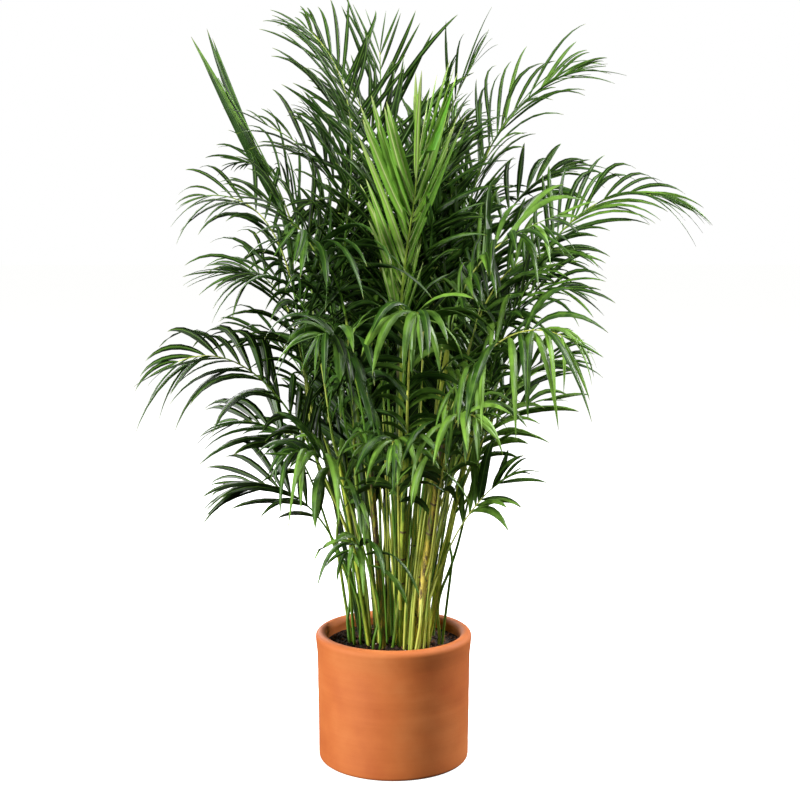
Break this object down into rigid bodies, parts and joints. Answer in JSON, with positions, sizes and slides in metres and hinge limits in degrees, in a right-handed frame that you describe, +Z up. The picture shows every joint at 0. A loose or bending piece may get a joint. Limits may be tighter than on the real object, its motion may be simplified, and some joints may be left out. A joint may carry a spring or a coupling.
{
  "type": "potted palm",
  "caption": "Clump of slender palm canes with long feathered arching fronds, growing from soil in a straight round clay pot with a rolled rim.",
  "frame": {"origin": "on the pot's axis, in its flat underside", "axes": "+Z up along the pot's axis, -Y towards the front of the picture, +X to its right"},
  "size_m": [0.9783, 0.7857, 1.3568],
  "materials": {
    "clay": "matt unglazed orange terracotta",
    "soil": "damp crumbly dark potting soil",
    "cane": "satin green stem with pale ring scars",
    "ripe_cane": "satin yellow stem with brown ring scars",
    "leaf": "semi-gloss deep green leaf with a waxy sheen",
    "young_leaf": "semi-gloss bright yellow-green young leaf"
  },
  "bodies": {
    "root": {"pot": "clay", "soil": "soil", "cane_01": "ripe_cane", "cane_02": "ripe_cane", "cane_03": "cane", "cane_04": "cane", "cane_05": "cane", "cane_06": "cane", "cane_07": "cane", "cane_08": "cane", "cane_09": "cane", "cane_10": "cane", "cane_11": "cane", "cane_12": "cane", "cane_13": "cane", "cane_14": "cane", "frond_01": "leaf", "frond_02": "leaf", "frond_03": "leaf", "frond_04": "young_leaf", "frond_05": "leaf", "frond_06": "leaf", "frond_07": "leaf", "frond_08": "leaf", "frond_09": "leaf", "frond_10": "leaf", "frond_11": "leaf", "frond_12": "leaf", "frond_13": "leaf", "frond_14": "leaf", "frond_15": "leaf", "frond_16": "leaf", "frond_17": "leaf", "frond_18": "leaf", "frond_19": "leaf", "frond_20": "leaf", "frond_21": "leaf", "frond_22": "leaf", "frond_23": "leaf", "frond_24": "leaf", "frond_25": "leaf", "frond_26": "leaf", "frond_27": "leaf", "frond_28": "leaf", "frond_29": "leaf", "frond_30": "leaf", "frond_31": "leaf", "frond_32": "leaf", "frond_33": "leaf", "frond_34": "leaf", "frond_35": "leaf", "frond_36": "leaf", "frond_37": "leaf", "frond_38": "leaf", "frond_39": "leaf", "frond_40": "leaf", "frond_41": "leaf", "frond_42": "leaf", "frond_43": "leaf", "frond_44": "leaf"}
  },
  "joints": []
}
